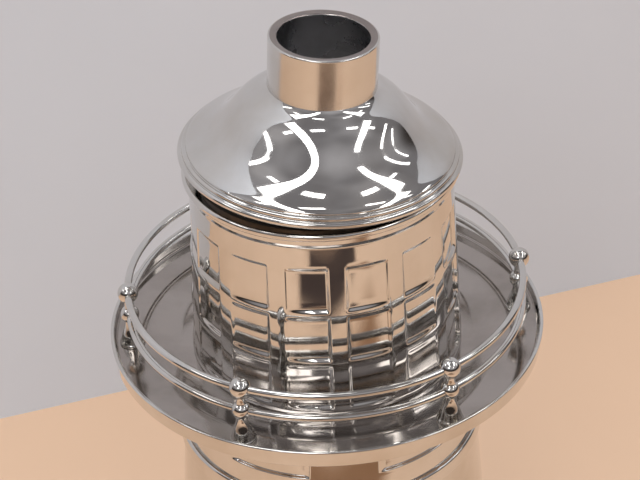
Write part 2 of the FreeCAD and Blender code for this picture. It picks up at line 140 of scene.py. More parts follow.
@dataclass(frozen=True)
class MetalFinish:
    """Plated or plain metal: how it was polished, handled and worn.

    A polished plate mirrors its surroundings. What tells the eye that it is metal and not glass is
    the slow waviness of the pressed sheet, the fine marks of the buffing wheel or lathe and the
    dull patches left by hands. Real tool marks are finer than grain_mm: they are drawn as coarse as
    they need to be to show.
    """

    name: str
    colour: str = "#DAD9D7"
    tarnish: str = "#CBC6BF"
    roughness: float = 0.035
    smudge: float = 0.045
    smudge_mm: float = 14.0
    tarnish_spread: float = 2.5
    wave_mm: float = 16.0
    wave_depth_mm: float = 0.012
    grain: Grain = Grain.NONE
    grain_mm: float = 0.5
    grain_depth_mm: float = 0.004
    grain_stretch: float = 0.004
    spoke_radius_mm: float = 50.0
    tarnish_range: Tuple[float, float] = (0.42, 0.72)
    smudge_range: Tuple[float, float] = (0.38, 0.72)

    def material(self, turn: Sequence[float] = (0.0, 0.0, 0.0)) -> bpy.types.Material:
        """Make the node material of this finish.

        Args:
            turn: rotation in radians that lines the pattern up with a leaning piece.

        Returns:
            The new material.
        """
        material, tree, shader = new_material(self.name)
        shader.inputs["Metallic"].default_value = 1.0
        where = add_node(tree, "ShaderNodeTexCoord").outputs["Object"]
        place = add_node(tree, "ShaderNodeMapping", {"Vector": where}, Rotation=turn).outputs["Vector"]
        self._colour(tree, shader, place)
        self._gloss(tree, shader, place)
        self._relief(tree, shader, place)
        return material

    def _colour(self, tree: bpy.types.NodeTree, shader: bpy.types.Node, place: bpy.types.NodeSocket) -> None:
        """Tint the plate with faint patches of tarnish.

        Args:
            tree: the material's node tree.
            shader: its main shader.
            place: the point on the piece that the pattern reads.
        """
        patches = add_node(tree, "ShaderNodeTexNoise", {"Vector": place}, Detail=5.0, Roughness=0.6,
                           Scale=1.0 / (self.tarnish_spread * self.smudge_mm * MM))
        share = add_node(tree, "ShaderNodeMapRange", {"Value": patches.outputs["Fac"]},
                         From_Min=self.tarnish_range[0], From_Max=self.tarnish_range[1])
        tint = add_node(tree, "ShaderNodeMix", {"Factor": share.outputs["Result"]}, data_type="RGBA")
        tint.inputs[6].default_value = linear(self.colour)
        tint.inputs[7].default_value = linear(self.tarnish)
        tree.links.new(tint.outputs[2], shader.inputs["Base Color"])

    def _gloss(self, tree: bpy.types.NodeTree, shader: bpy.types.Node, place: bpy.types.NodeSocket) -> None:
        """Dull the polish where it was handled.

        Args:
            tree: the material's node tree.
            shader: its main shader.
            place: the point on the piece that the pattern reads.
        """
        hands = add_node(tree, "ShaderNodeTexNoise", {"Vector": place},
                         Scale=1.0 / (self.smudge_mm * MM), Detail=6.0, Roughness=0.65)
        dull = add_node(tree, "ShaderNodeMapRange", {"Value": hands.outputs["Fac"]},
                        From_Min=self.smudge_range[0], From_Max=self.smudge_range[1],
                        To_Min=self.roughness, To_Max=self.roughness + self.smudge)
        tree.links.new(dull.outputs["Result"], shader.inputs["Roughness"])

    def _relief(self, tree: bpy.types.NodeTree, shader: bpy.types.Node, place: bpy.types.NodeSocket) -> None:
        """Add the waviness of the sheet and the marks of the tool as bump.

        Args:
            tree: the material's node tree.
            shader: its main shader.
            place: the point on the piece that the pattern reads.
        """
        waves = add_node(tree, "ShaderNodeTexNoise", {"Vector": place},
                         Scale=1.0 / (self.wave_mm * MM), Detail=1.5, Roughness=0.4)
        relief = add_node(tree, "ShaderNodeBump", {"Height": waves.outputs["Fac"]},
                          Strength=1.0, Distance=self.wave_depth_mm * MM)
        if self.grain is not Grain.NONE:
            marks = add_node(tree, "ShaderNodeTexNoise", {"Vector": self._grain_place(tree, place)},
                             Scale=1.0, Detail=3.0, Roughness=0.6)
            relief = add_node(tree, "ShaderNodeBump",
                              {"Height": marks.outputs["Fac"], "Normal": relief.outputs["Normal"]},
                              Strength=1.0, Distance=self.grain_depth_mm * MM)
        tree.links.new(relief.outputs["Normal"], shader.inputs["Normal"])

    def _grain_place(self, tree: bpy.types.NodeTree, place: bpy.types.NodeSocket) -> bpy.types.NodeSocket:
        """Stretch the pattern along the tool's path: rings of constant height, or spokes.

        Args:
            tree: the material's node tree.
            place: the point on the piece that the pattern reads.

        Returns:
            The stretched point. Spokes are grain_mm apart at the spoke radius.
        """
        across = 1.0 / (self.grain_mm * MM)
        if self.grain is Grain.AROUND:
            along = across * self.grain_stretch
            return add_node(tree, "ShaderNodeMapping", {"Vector": place},
                            Scale=(along, along, across)).outputs["Vector"]
        spokes = add_node(tree, "ShaderNodeTexGradient", {"Vector": place}, gradient_type="RADIAL")
        turns = add_node(tree, "ShaderNodeMath", {0: spokes.outputs["Fac"]}, operation="MULTIPLY")
        turns.inputs[1].default_value = FULL_TURN * self.spoke_radius_mm / self.grain_mm
        return add_node(tree, "ShaderNodeCombineXYZ", {"X": turns.outputs["Value"]}).outputs["Vector"]


@dataclass(frozen=True)
class RubberFinish:
    """Moulded rubber: dark, nearly matt, with a fine skin left by the mould."""

    name: str = "moulded_rubber"
    colour: str = "#2A2624"
    worn: str = "#3B3532"
    roughness: float = 0.62
    skin_mm: float = 0.6
    skin_depth_mm: float = 0.1
    skin_strength: float = 0.4

    def material(self) -> bpy.types.Material:
        """Make the node material of this finish.

        Returns:
            The new material.
        """
        material, tree, shader = new_material(self.name)
        where = add_node(tree, "ShaderNodeTexCoord").outputs["Object"]
        skin = add_node(tree, "ShaderNodeTexNoise", {"Vector": where},
                        Scale=1.0 / (self.skin_mm * MM), Detail=3.0)
        tint = add_node(tree, "ShaderNodeMix", {"Factor": skin.outputs["Fac"]}, data_type="RGBA")
        tint.inputs[6].default_value = linear(self.colour)
        tint.inputs[7].default_value = linear(self.worn)
        tree.links.new(tint.outputs[2], shader.inputs["Base Color"])
        shader.inputs["Roughness"].default_value = self.roughness
        relief = add_node(tree, "ShaderNodeBump", {"Height": skin.outputs["Fac"]},
                          Strength=self.skin_strength, Distance=self.skin_depth_mm * MM)
        tree.links.new(relief.outputs["Normal"], shader.inputs["Normal"])
        return material


def bspline(control: Sequence[Corner], count: int) -> Array:
    """Carry a smooth curve along a control polygon.

    Each span blends four control points with the uniform cubic B-spline basis, and the end points
    are repeated so that the curve starts and ends on them.

    Args:
        control: the polygon's points.
        count: how many points to give.

    Returns:
        An array of points along the curve.
    """
    points = np.array(control, float)
    points = np.vstack([points[:1], points[:1], points, points[-1:], points[-1:]])
    spans = len(points) - 3
    along = np.linspace(0, spans, count)
    first = np.minimum(along.astype(int), spans - 1)
    t = (along - first)[:, None]
    basis = ((1 - t) ** 3, 3 * t ** 3 - 6 * t ** 2 + 4, -3 * t ** 3 + 3 * t ** 2 + 3 * t + 1, t ** 3)
    return sum(weight * points[first + step] for step, weight in enumerate(basis)) / 6


def arc(centre: Corner, radius: float, start: float, end: float, count: int) -> Array:
    """Give points on a circle from one angle to another, in degrees from the first axis."""
    angle = np.radians(np.linspace(start, end, count))
    return np.column_stack([centre[0] + radius * np.cos(angle), centre[1] + radius * np.sin(angle)])


def outline(corners: Sequence[Corner], step: float = 2.5, bend: float = 9.0) -> Array:
    """Round the corners of a closed outline and sample it.

    A corner with a radius becomes the arc that touches both of its sides. A straight run gets a
    point close to each end, which keeps the shading of flat and round stretches apart, and points
    between them.

    Args:
        corners: (across, up) or (across, up, radius) in order round the outline.
        step: spacing of points on a straight run.
        bend: degrees of arc from one point to the next.

    Returns:
        The closed outline's points, without repeating the first.
    """
    points = np.array([corner[:2] for corner in corners], float)
    radii = np.array([corner[2] if len(corner) > 2 else 0.0 for corner in corners])
    stretches: List[Array] = []
    for before, here, after, radius in zip(np.roll(points, 1, 0), points, np.roll(points, -1, 0), radii):
        if radius == 0:
            stretches.append(here[None])
            continue
        back = (before - here) / np.linalg.norm(before - here)
        ahead = (after - here) / np.linalg.norm(after - here)
        half = math.acos(float(np.clip(back @ ahead, -1, 1))) / 2
        middle = (back + ahead) / np.linalg.norm(back + ahead)
        centre = here + middle * radius / math.sin(half)
        sweep = math.pi - 2 * half
        count = max(3, math.ceil(math.degrees(sweep) / bend) + 1)
        share = np.linspace(-sweep / 2, sweep / 2, count)[:, None]
        side = ahead - back
        side = side / np.linalg.norm(side)
        stretches.append(centre + radius * (np.sin(share) * side - np.cos(share) * middle))
    runs: List[Array] = []
    for stretch, following in zip(stretches, stretches[1:] + stretches[:1]):
        runs.append(stretch)
        runs.append(run(stretch[-1], following[0], step))
    return np.vstack(runs)


def run(start: Array, end: Array, step: float) -> Array:
    """Give the points inside a straight run: one close to each end, and evenly spaced ones.

    Args:
        start: the run's first point.
        end: its last point.
        step: the largest spacing.

    Returns:
        The points between, or none where the run is too short for them.
    """
    length = float(np.linalg.norm(end - start))
    if length < 3 * SUPPORT:
        return np.zeros((0, 2))
    inner = np.linspace(SUPPORT, length - SUPPORT, max(2, math.ceil(length / step) + 1))
    return start + (end - start) * (inner / length)[:, None]


def offset(curve: Array, distance: float) -> Array:
    """Move a curve sideways along its normals: a point p with unit tangent (u, v) goes to p + d (-v, u).

    Args:
        curve: the curve's points.
        distance: how far to move, to the left of the curve's direction where positive.

    Returns:
        The moved points.
    """
    tangent = np.gradient(curve, axis=0)
    tangent = tangent / np.linalg.norm(tangent, axis=1, keepdims=True)
    return curve + distance * np.column_stack([-tangent[:, 1], tangent[:, 0]])


def even_turn(count: int = SMOOTH_TURN) -> Array:
    """Give evenly spaced angles round a full turn."""
    return np.arange(count) * FULL_TURN / count


def angle_of(heading: float) -> float:
    """Turn a heading from the front, in degrees, into an angle from +X in radians."""
    return math.radians(heading - 90)


def turned(angles: Array, profile: Array, press: Optional[Press] = None) -> Array:
    """Carry a profile of (radius, height) round the vertical axis.

    A point is (r cos a, r sin a, z), with r moved by the press function where a surface is
    embossed.

    Args:
        angles: the angles round the axis, in radians.
        profile: the profile's points.
        press: gives the change of radius from angle, radius and height.

    Returns:
        A grid of points, angles by profile points by three.
    """
    angle = angles[:, None]
    radius = np.broadcast_to(profile[None, :, 0], (len(angles), len(profile)))
    height = np.broadcast_to(profile[None, :, 1], radius.shape)
    if press is not None:
        radius = radius + press(angle, radius, height)
    return np.stack([radius * np.cos(angle), radius * np.sin(angle), height], axis=-1)


def grid_quads(rows: int, columns: int, closed: bool) -> Array:
    """Number the quads of a grid that closes on itself by rows.

    Args:
        rows: how many rows the grid has.
        columns: how many points a row has.
        closed: whether the grid also closes on itself by columns.

    Returns:
        One row of four vertex numbers per quad.
    """
    row = np.arange(rows)[:, None]
    column = np.arange(columns if closed else columns - 1)[None, :]
    ahead = (row + 1) % rows
    beside = (column + 1) % columns
    corners = [row * columns + column, ahead * columns + column,
               ahead * columns + beside, row * columns + beside]
    return np.stack(np.broadcast_arrays(*corners), axis=-1).reshape(-1, 4)


def facing_out(points: Array, faces: List[Array]) -> List[Array]:
    """Reverse the faces if their signed volume, the sum of a . (b x c) over triangles, is negative.

    Args:
        points: vertices, one row each.
        faces: groups of faces, each with one row of vertex numbers per face.

    Returns:
        The same groups, with their faces pointing outwards.
    """
    volume = 0.0
    for group in faces:
        first = points[group[:, 0]]
        for second, third in zip(range(1, group.shape[1] - 1), range(2, group.shape[1])):
            volume += float(np.sum(first * np.cross(points[group[:, second]], points[group[:, third]])))
    return faces if volume > 0 else [group[:, ::-1] for group in faces]


def make_mesh(name: str, points: Array, faces: List[Array]) -> bpy.types.Object:
    """Put points in millimetres and faces into a smooth mesh object at the origin.

    Args:
        name: the piece's name.
        points: vertices, one row each.
        faces: groups of faces, each group an array with one row of vertex numbers per face.

    Returns:
        The new object.
    """
    faces = facing_out(points, faces)
    loops = np.concatenate([group.ravel() for group in faces])
    counts = np.concatenate([np.full(len(group), group.shape[1]) for group in faces])
    mesh = bpy.data.meshes.new(name)
    mesh.vertices.add(len(points))
    mesh.vertices.foreach_set("co", (points * MM).astype(np.float32).ravel())
    mesh.loops.add(len(loops))
    mesh.loops.foreach_set("vertex_index", loops.astype(np.int32))
    mesh.polygons.add(len(counts))
    mesh.polygons.foreach_set("loop_start", (np.cumsum(counts) - counts).astype(np.int32))
    mesh.polygons.foreach_set("use_smooth", np.ones(len(counts), bool))
    mesh.update(calc_edges=True)
    mesh.validate()
    piece = bpy.data.objects.new(name, mesh)
    bpy.context.scene.collection.objects.link(piece)
    return piece


def ring_piece(name: str, grid: Array) -> bpy.types.Object:
    """Make a closed ring from a grid whose profile is a closed outline."""
    rows, columns = grid.shape[:2]
    return make_mesh(name, grid.reshape(-1, 3), [grid_quads(rows, columns, True)])


def knob_piece(name: str, grid: Array) -> bpy.types.Object:
    """Make a turned solid from a grid whose profile runs from axis to axis, with a fan at each end.

    Args:
        name: the piece's name.
        grid: its points, angles by profile points by three.

    Returns:
        The new object.
    """
    rows, columns = grid.shape[:2]
    points = grid.reshape(-1, 3)
    poles = np.stack([grid[:, 0].mean(axis=0), grid[:, -1].mean(axis=0)])
    row = np.arange(rows)
    ahead = (row + 1) % rows
    low = np.stack([np.full(rows, len(points)), ahead * columns, row * columns], axis=-1)
    high = np.stack([np.full(rows, len(points) + 1), row * columns + columns - 1,
                     ahead * columns + columns - 1], axis=-1)
    return make_mesh(name, np.vstack([points, poles]), [grid_quads(rows, columns, False), low, high])


def flat_piece(name: str, corners: Sequence[Sequence[float]]) -> bpy.types.Object:
    """Make a flat sheet that faces the side from which its four corners run anticlockwise.

    Args:
        name: the sheet's name.
        corners: its four corners in millimetres.

    Returns:
        The new object.
    """
    mesh = bpy.data.meshes.new(name)
    mesh.from_pydata((np.array(corners, float) * MM).tolist(), [], [[0, 1, 2, 3]])
    piece = bpy.data.objects.new(name, mesh)
    bpy.context.scene.collection.objects.link(piece)
    return piece


def level_piece(name: str, across: Sequence[float], along: Sequence[float],
                height: float) -> bpy.types.Object:
    """Make a level sheet that faces up.

    Args:
        name: the sheet's name.
        across: its left and right edges, in x.
        along: its near and far edges, in y.
        height: its height.

    Returns:
        The new object.
    """
    (left, right), (near, far) = across, along
    return flat_piece(name, [(left, near, height), (right, near, height),
                             (right, far, height), (left, far, height)])


def soft_box(distance: Array, half: float, soft: float) -> Array:
    """Give 1 inside a half width and 0 outside, with a smooth edge: 3t^2 - 2t^3 across the edge."""
    t = np.clip((half + soft / 2 - np.abs(distance)) / soft, 0, 1)
    return t * t * (3 - 2 * t)


def edge_lines(edges: Array, soft: float, spread: Array, count: int) -> Array:
    """Give grid lines that are even overall and close together across each soft edge.

    Args:
        edges: the middles of the soft edges.
        soft: how wide an edge is.
        spread: the first and last line.
        count: how many even lines there are before those near an edge give way.

    Returns:
        The lines in order.
    """
    across = np.linspace(-EDGE_REACH, EDGE_REACH, EDGE_LINES) * soft
    fine = (np.asarray(edges)[:, None] + across[None, :]).ravel()
    even = np.linspace(spread[0], spread[1], count)
    near = np.abs(even[:, None] - np.asarray(edges)[None, :]).min(axis=1) < soft
    return np.unique(np.round(np.concatenate([fine, even[~near]]), 6))


def dress(piece: bpy.types.Object, material: bpy.types.Material, body: str, slot: str, *nodes: str) -> None:
    """Give a piece its material and its body, and hide the nodes that it stands for.

    Args:
        piece: the piece.
        material: its finish.
        body: the body that it rides on.
        slot: the record's material slot; not used.
        nodes: the solids that it replaces.
    """
    piece.data.materials.append(material)
    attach(piece, body)
    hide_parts(*nodes)
    LOG.info("%s: %d faces on %s", piece.name, len(piece.data.polygons), body)


def second_finish(piece: bpy.types.Object, grid: Array, material: bpy.types.Material,
                  chosen: Callable[[Array], Array]) -> None:
    """Give the faces of a turned piece whose corners all lie at chosen radii another finish.

    Args:
        piece: the piece, made from the grid.
        grid: its points before any lean, angles by profile points by three.
        material: the other finish.
        chosen: tells from an array of radii which of them count.
    """
    piece.data.materials.append(material)
    picked = chosen(np.hypot(grid[..., 0], grid[..., 1]).ravel())
    corner = np.empty(len(piece.data.loops), np.int32)
    piece.data.loops.foreach_get("vertex_index", corner)
    finishes = np.empty(len(piece.data.polygons), np.int32)
    piece.data.polygons.foreach_get("material_index", finishes)
    finishes[picked[corner].reshape(-1, 4).all(axis=1)] = len(piece.data.materials) - 1
    piece.data.polygons.foreach_set("material_index", finishes)


def finish_node(node: str, material: bpy.types.Material) -> None:
    """Give a solid that stays in view its finish.

    Args:
        node: the solid's node.
        material: its finish.
    """
    materials = frame["nodes"][node].data.materials
    materials.clear()
    materials.append(material)
    LOG.info("%s keeps its solid and gets %s", node, material.name)


def height_of(node: str) -> Tuple[float, float]:
    """Give the lowest and highest point of a solid, in millimetres."""
    low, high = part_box(node)
    return low.z / MM, high.z / MM


def reach_of(node: str) -> float:
    """Give the largest radius of a solid round the vertical axis, in millimetres."""
    low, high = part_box(node)
    return (high.x - low.x) / 2 / MM


@dataclass
class Shop:
    """The finishes that the pieces share."""

    plate: bpy.types.Material = field(init=False)
    deck: bpy.types.Material = field(init=False)
    rod: bpy.types.Material = field(init=False)
    steel: bpy.types.Material = field(init=False)

    def __post_init__(self) -> None:
        """Make the shared materials."""
        # Buffed plate: a clear mirror, a little wavy.
        self.plate = MetalFinish("polished_nickel_plate").material()
        # Handled sheet: a greyer, softer mirror with marks that run out from the drum.
        self.deck = MetalFinish("handled_nickel_sheet", roughness=0.09, smudge=0.09, smudge_mm=9.0,
                                colour="#B2ABA6", tarnish="#98918B", grain=Grain.RADIAL, grain_mm=0.9,
                                grain_depth_mm=0.003).material()
        # Bent and turned rod: narrow bright lines along a dark core.
        self.rod = MetalFinish("polished_nickel_rod", roughness=0.06, wave_mm=6.0,
                               wave_depth_mm=0.006).material()
        # Unplated steel: a dull grey sheen.
        self.steel = MetalFinish("plain_turned_steel", colour="#B9B6B2", tarnish="#9D968D", roughness=0.3,
                                 smudge=0.15, smudge_mm=3.0).material()


@dataclass
class Lid:
    """The lid that sits cocked in the drum's mouth: roof, spout, sleeve, seal and strainer.

    Heights are measured along the lid's own leaning axis: those of the rim's beads and of the brim
    from the seat under the rim, and the others from the lower end of the sleeve.
    """

    shop: Shop
    seat: float = 9.0
    sheet: float = 1.2
    rim_radius: float = 38.3
    bead_heights: Tuple[float, ...] = (1.75, 2.85, 3.7)
    bead_steps: Tuple[float, ...] = (0.0, 1.1, 2.2)
    bead_round: float = 0.8
    bead_share: float = 0.45
    bead_cove: float = 0.15
    brim: Tuple[Corner, ...] = (
        (36.0, 3.7), (35.5, 4.15), (34.5, 4.72), (32.9, 5.45), (30.8, 6.6), (28.6, 8.1), (26.4, 10.4),
        (24.3, 13.3), (22.0, 16.0), (19.6, 17.9), (17.6, 18.9), (16.2, 19.55), (15.2, 20.3), (14.65, 21.1),
    )
    brim_points: int = 130
    brim_clear: float = 1.5
    plug_radius: float = 33.0
    plug_wall: float = 1.0
    plug_grip: float = 2.5
    plug_edge: float = 0.3
    spout_radius: float = 14.6
    spout_bore: float = 12.15
    spout_foot: float = 26.4
    spout_top: float = 44.5
    lip_round: float = 0.45
    lip_fall: float = 0.3
    origin: Array = field(init=False)
    axes: Array = field(init=False)

    def __post_init__(self) -> None:
        """Read where the lid stands, and how it leans, from its turning joint."""
        joint = next(item for item in frame["joints"] if item["name"] == "lid_turn")
        self.origin = np.array(joint["pos_m"]) / MM
        up = Vector(joint["axis"]).normalized()
        turn = Vector((0, 0, 1)).rotation_difference(up).to_matrix()
        self.axes = np.array(turn)

    def lean(self, grid: Array) -> Array:
        """Move points from the lid's own axis to where the lid stands."""
        return self.origin + grid @ self.axes.T

    def pattern_turn(self) -> Tuple[float, float, float]:
        """Give the rotation that brings the lid's pattern upright."""
        return tuple(Matrix(self.axes.tolist()).inverted().to_euler())

    def build(self) -> None:
        """Build and dress every piece of the lid."""
        self._roof()
        self._spout()
        self._sleeve()
        finish_node("strainer_plate", self.shop.steel)
        finish_node("plug_seal", RubberFinish().material())

    def _roof(self) -> None:
        """Build the bell-shaped roof: three half-round rim beads, then one smooth curve to the crown."""
        inside = self.plug_radius + SNUG
        rim: List[Corner] = [(inside, self.seat), (self.rim_radius, self.seat, self.bead_round)]
        floor = self.seat
        for height, step in zip(self.bead_heights, self.bead_steps):
            radius = self.rim_radius - step
            top = self.seat + height
            if floor > self.seat:
                rim.append((radius, floor, self.bead_cove))
            rim.append((radius, top, min(self.bead_round, self.bead_share * (top - floor))))
            floor = top
        curve = bspline([(radius, self.seat + up) for radius, up in self.brim], self.brim_points)
        inner = offset(curve, self.sheet)[::-1]
        inner = inner[inner[:, 0] < inside - self.brim_clear]
        edge = outline([*rim, (self.brim[0][0], self.seat + self.brim[0][1])])
        edge = edge[:np.argmin(np.linalg.norm(edge - curve[0], axis=1))]
        closing = np.array([[inside, self.seat + self.plug_grip]])
        profile = np.vstack([edge, curve, inner, closing])
        piece = ring_piece("roof", self.lean(turned(even_turn(), profile)))
        # Spun and buffed plate: a mirror with faint rings and a slow wave from the spinning.
        finish = MetalFinish("spun_nickel_roof", grain=Grain.AROUND, grain_mm=0.9, grain_depth_mm=0.002,
                             wave_mm=13.0, wave_depth_mm=0.018)
        dress(piece, finish.material(self.pattern_turn()), "lid", "polished_plate", "roof_shell")

    def _spout(self) -> None:
        """Build the thick-walled spout, whose lip falls a little towards the bore."""
        profile = outline([
            (self.spout_bore, self.spout_foot),
            (self.spout_radius, self.spout_foot),
            (self.spout_radius, self.spout_top, self.lip_round),
            (self.spout_bore, self.spout_top - self.lip_fall, self.lip_round),
        ], step=1.0)
        # Fine turning: a soft mirror that is drawn out sideways.
        finish = MetalFinish("turned_nickel_spout", roughness=0.16, smudge=0.08, grain=Grain.AROUND,
                             grain_mm=0.55, grain_depth_mm=0.006, wave_depth_mm=0.006)
        # A lip worn by use: a darker, warmer grey that sets the mouth off.
        lip = MetalFinish("worn_spout_lip", colour="#A29995", tarnish="#8A817D", roughness=0.14,
                          smudge=0.08)
        # A rough bore: dim, with broad rings from the boring tool.
        bore = MetalFinish("bored_spout_wall", colour="#BFBFC2", tarnish="#88888A", roughness=0.24,
                           smudge=0.1, grain=Grain.AROUND, grain_mm=2.4, grain_depth_mm=0.13)
        turn = self.pattern_turn()
        inner = self.spout_bore + SNUG
        outer = self.spout_radius - self.lip_round
        grid = turned(even_turn(), profile)
        piece = ring_piece("spout", self.lean(grid))
        dress(piece, finish.material(turn), "lid", "spout_steel", "spout_tube")
        second_finish(piece, grid, bore.material(turn), lambda reach: reach < inner)
        second_finish(piece, grid, lip.material(), lambda reach: (reach > inner) & (reach < outer))

    def _sleeve(self) -> None:
        """Build the sleeve under the roof that shows in the gap."""
        bore = self.plug_radius - self.plug_wall
        profile = outline([
            (bore, 0.0, self.plug_edge),
            (self.plug_radius, 0.0, self.plug_edge),
            (self.plug_radius, self.seat + self.plug_grip),
            (bore, self.seat + self.plug_grip),
        ])
        piece = ring_piece("sleeve", self.lean(turned(even_turn(), profile)))
        # Plate painted a dark brown-grey: painted shade that keeps the gap under the roof dark.
        finish = MetalFinish("painted_shade_nickel_sleeve", colour="#6A625C", tarnish="#463E39", roughness=0.3,
                             smudge=0.1)
        dress(piece, finish.material(self.pattern_turn()), "lid", "polished_plate", "plug_sleeve")


@dataclass
class LanternDrum:
    """The lantern drum: a rolled mouth above a tapered wall with rows of panes pressed into it."""

    shop: Shop
    radius: float = 35.6
    spread: float = 2.6
    sheet: float = 1.2
    bead_height: float = 1.9
    bead_proud: float = 1.9
    collar_height: float = 4.0
    bead_round: float = 0.85
    bead_under: float = 0.5
    mouth_round: float = 0.5
    collar_proud: float = 0.12
    collar_edge: float = 0.1
    collar_cove: float = 0.15
    wall_rows: int = 40
    pane_columns: int = 26
    pane_drop: float = 11.5
    pane_gap: float = 2.4
    pane_foot: float = 2.2
    pane_rows: int = 3
    pane_count: int = 14
    pane_angle: float = 17.8
    pane_heading: float = -8.0
    pane_depth: float = 0.5
    pane_edge: float = 1.0
    pane_sill: float = 1.4
    pane_flatness: float = 0.35
    heavy_press: float = 0.06
    heavy_lean: float = 3.8

    def radius_at(self, height: Array) -> Array:
        """Give the outer radius at a height, along the straight taper."""
        foot, rim = height_of("lantern_drum")
        return self.radius + self.spread * (rim - height) / (rim - foot)

    def build(self) -> None:
        """Build and dress the drum."""
        piece = ring_piece("drum", turned(self._angles(), self._profile(), self._press))
        dress(piece, self.shop.plate, "vessel", "polished_plate", "lantern_drum")

    def _collar_foot(self) -> float:
        """Give the height at which the smooth collar under the mouth begins."""
        return height_of("lantern_drum")[1] - self.collar_height

    def _panes(self) -> Tuple[Array, float]:
        """Share the wall's height out among the rows of panes.

        Returns:
            The heights of the rows' upper edges, and the height of a pane.
        """
        foot, rim = height_of("lantern_drum")
        pitch = (rim - foot - self.pane_drop - self.pane_foot + self.pane_gap) / self.pane_rows
        return rim - self.pane_drop - pitch * np.arange(self.pane_rows), pitch - self.pane_gap

    def _profile(self) -> Array:
        """Draw the drum's section: the wall with lines at its panes' edges, the mouth and the inside.

        Returns:
            The closed section's points, as radius and height.
        """
        foot, rim = height_of("lantern_drum")
        collar_foot = self._collar_foot()
        crest = self.radius + self.bead_proud
        neck = float(self.radius_at(np.array(collar_foot)))
        base = self.radius + self.spread
        tops, tall = self._panes()
        edges = np.concatenate([tops, tops - tall])
        heights = edge_lines(edges, self.pane_sill, np.array([foot, collar_foot]), self.wall_rows)
        wall = np.column_stack([self.radius_at(heights), heights])
        mouth = outline([
            (neck, collar_foot),
            (neck + self.collar_proud, collar_foot, self.collar_edge),
            (neck + self.collar_proud, rim - self.bead_height, self.collar_cove),
            (crest, rim - self.bead_height, self.bead_under),
            (crest, rim, self.bead_round),
            (self.radius - self.sheet, rim, self.mouth_round),
            (base - self.sheet, foot),
            (base, foot),
        ])
        inside = mouth[:, 0] < self.radius_at(mouth[:, 1]) - self.sheet / 2
        return np.vstack([wall, mouth[(mouth[:, 1] > collar_foot) | inside]])

    def _angles(self) -> Array:
        """Give the angles of the drum's columns, which lie close together at the panes' sides.

        Returns:
            The angles round the axis, in radians.
        """
        half = self.pane_angle / 2
        soft = math.degrees(self.pane_edge / self.radius)
        gap = 360 / self.pane_count
        sides, span = np.array([-half, half]), np.array([-gap / 2, gap / 2])
        column = edge_lines(sides, soft, span, self.pane_columns)[:-1]
        centres = self.pane_heading - 90 + gap * np.arange(self.pane_count)
        return np.radians((centres[:, None] + column[None, :]).ravel())

    def _press(self, angle: Array, radius: Array, height: Array) -> Array:
        """Sink each pane and flatten it a little; some were pressed harder and lean to one side.

        A pane sinks by depth + h (press + tan(lean) s) - flatness (s^2 - w^2 / 3) / 2r inside its
        soft edges, with s the distance from its middle, w its half width, r the drum's radius and
        h the cosine of twice its number, which stands for the unevenness of the hand.

        Args:
            angle: angles round the axis.
            radius: radii before pressing.
            height: heights.

        Returns:
            The change of radius.
        """
        tops, tall = self._panes()
        turn = FULL_TURN / self.pane_count
        place = (angle - angle_of(self.pane_heading)) / turn
        column = np.round(place)
        along = (place - column) * turn * self.radius
        half = math.radians(self.pane_angle) / 2 * self.radius
        row = np.abs(height[..., None] - (tops - tall / 2)).min(axis=-1)
        mask = soft_box(along, half, self.pane_edge) * soft_box(row, tall / 2, self.pane_sill)
        flat = self.pane_flatness * (along ** 2 - half ** 2 / 3) / (2 * self.radius)
        hand = np.cos(2 * column)
        lean = math.tan(math.radians(self.heavy_lean)) * along
        sink = self.pane_depth + hand * (self.heavy_press + lean)
        outer = radius > self.radius_at(height) - SNUG
        return np.where(outer & (height < self._collar_foot()), mask * (flat - sink), 0.0)


